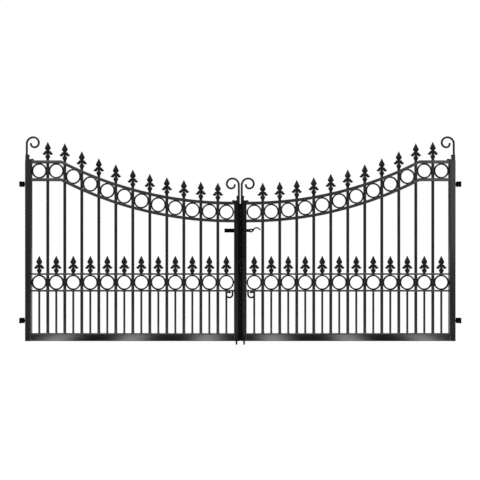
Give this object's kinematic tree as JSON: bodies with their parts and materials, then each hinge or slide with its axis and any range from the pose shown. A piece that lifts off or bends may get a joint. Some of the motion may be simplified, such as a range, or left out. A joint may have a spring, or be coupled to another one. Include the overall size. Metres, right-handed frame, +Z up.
{
  "type": "wrought iron driveway gate pair",
  "caption": "Pair of black wrought iron driveway gate leaves with a dipped top, ringed bands, spear finials and scrolls, on knuckle hinges, with a slide latch and drop bolts.",
  "frame": {"origin": "on the flat back of the lower left hinge bracket, level with its knuckle and in the plane of the bars", "axes": "+X along the closed gate to the right, +Y away from the road, +Z up"},
  "size_m": [3.006, 0.065, 1.4255],
  "materials": {
    "frame_paint": "gloss black paint on welded steel box section",
    "rail_paint": "gloss black paint on flat bar",
    "bar_paint": "gloss black paint on round bar",
    "casting_paint": "gloss black paint on cast and forged ornaments",
    "ironmongery_paint": "satin black paint on hinges, latch, bolts and closing strips"
  },
  "bodies": {
    "hinge_brackets": {"left_lower_hinge_bracket": "ironmongery_paint", "left_upper_hinge_bracket": "ironmongery_paint", "right_lower_hinge_bracket": "ironmongery_paint", "right_upper_hinge_bracket": "ironmongery_paint"},
    "left_leaf": {"left_hinge_stile": "frame_paint", "left_meeting_stile": "frame_paint", "left_bottom_rail": "frame_paint", "left_top_rail": "rail_paint", "left_band_rail": "rail_paint", "left_upper_mid_rail": "rail_paint", "left_lower_mid_rail": "rail_paint", "left_bars": "bar_paint", "left_dog_bars": "bar_paint", "left_top_rings": "casting_paint", "left_mid_rings": "casting_paint", "left_finials": "casting_paint", "left_dog_finials": "casting_paint", "left_hinge_scroll": "bar_paint", "left_meeting_scroll": "bar_paint", "left_hinge_eyes": "ironmongery_paint", "left_meeting_strip": "ironmongery_paint", "left_bolt_guides": "ironmongery_paint", "latch_keep": "ironmongery_paint"},
    "right_leaf": {"right_hinge_stile": "frame_paint", "right_meeting_stile": "frame_paint", "right_bottom_rail": "frame_paint", "right_top_rail": "rail_paint", "right_band_rail": "rail_paint", "right_upper_mid_rail": "rail_paint", "right_lower_mid_rail": "rail_paint", "right_bars": "bar_paint", "right_dog_bars": "bar_paint", "right_top_rings": "casting_paint", "right_mid_rings": "casting_paint", "right_finials": "casting_paint", "right_dog_finials": "casting_paint", "right_hinge_scroll": "bar_paint", "right_meeting_scroll": "bar_paint", "right_hinge_eyes": "ironmongery_paint", "right_meeting_strip": "ironmongery_paint", "right_bolt_guides": "ironmongery_paint", "latch_guide": "ironmongery_paint"},
    "left_bolt": {"left_drop_bolt": "ironmongery_paint"},
    "right_bolt": {"right_drop_bolt": "ironmongery_paint"},
    "latch": {"latch_bolt": "ironmongery_paint"}
  },
  "joints": [
    {"name": "left_leaf_swing", "type": "hinge", "parent": "hinge_brackets", "child": "left_leaf", "pos_m": [0.022, 0.005, 0], "axis": [0, 0, 1], "range_deg": [0, 90]},
    {"name": "right_leaf_swing", "type": "hinge", "parent": "hinge_brackets", "child": "right_leaf", "pos_m": [2.984, 0.005, 0], "axis": [0, 0, -1], "range_deg": [0, 90]},
    {"name": "latch_slide", "type": "slide", "parent": "right_leaf", "child": "latch", "axis": [1, 0, 0], "range_m": [-0.04, 0]},
    {"name": "left_drop_bolt_slide", "type": "slide", "parent": "left_leaf", "child": "left_bolt", "axis": [0, 0, 1], "range_m": [-0.12, 0]},
    {"name": "right_drop_bolt_slide", "type": "slide", "parent": "right_leaf", "child": "right_bolt", "axis": [0, 0, 1], "range_m": [-0.12, 0]}
  ]
}
